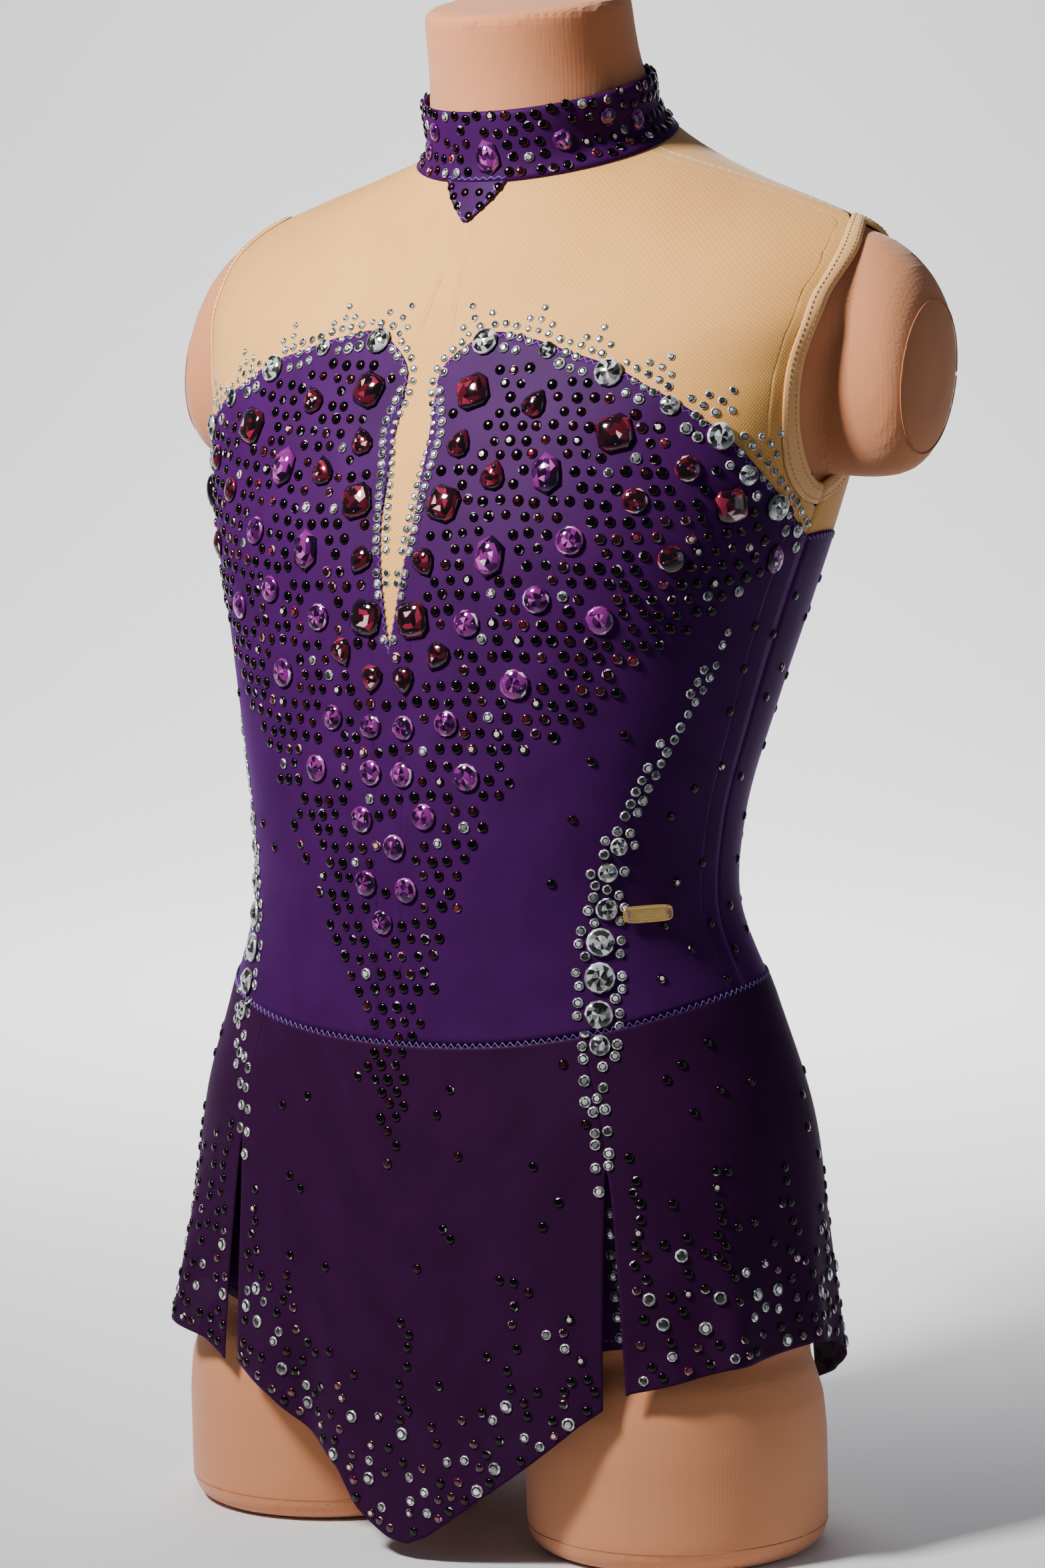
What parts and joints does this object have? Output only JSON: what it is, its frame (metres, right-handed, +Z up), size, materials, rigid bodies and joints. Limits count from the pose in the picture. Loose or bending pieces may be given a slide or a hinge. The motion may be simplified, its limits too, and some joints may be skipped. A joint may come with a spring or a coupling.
{
  "type": "rhythmic gymnastics leotard on dress form",
  "caption": "Sleeveless gymnastics leotard with a nude mesh yoke, stoned purple bodice and pointed panelled skirt, worn by a limbless soft dress form.",
  "frame": {"origin": "on the floor plane, under the middle of the part's box; the two thigh stubs stand on that plane", "axes": "+Z up along the body, +X to the wearer's left, -Y to the front of the garment"},
  "size_m": [0.426, 0.2371, 0.7407],
  "materials": {
    "form_jersey": "warm tan matt jersey cover over a padded form",
    "purple_lycra": "deep purple stretch lycra with a soft sheen, set with faceted stones",
    "nude_mesh": "nude stretch power mesh with a fine diagonal knit",
    "skirt_mesh": "dark plum skirt mesh, slightly see-through, scattered with stones",
    "nude_binding": "folded nude elastic binding with two rows of topstitching",
    "tag_brass": "brushed antique gold metal, plain with no lettering"
  },
  "bodies": {
    "root": {"dress_form": "form_jersey", "front_bodice": "purple_lycra", "back_bodice": "purple_lycra", "front_yoke": "nude_mesh", "back_yoke_left": "nude_mesh", "back_yoke_right": "nude_mesh", "armhole_binding_left": "nude_binding", "armhole_binding_right": "nude_binding", "collar": "purple_lycra", "collar_point": "purple_lycra", "brief_front": "purple_lycra", "brief_back": "purple_lycra", "skirt_front": "skirt_mesh", "skirt_left": "skirt_mesh", "skirt_right": "skirt_mesh", "skirt_back": "skirt_mesh", "tag_plate": "tag_brass"}
  },
  "joints": []
}
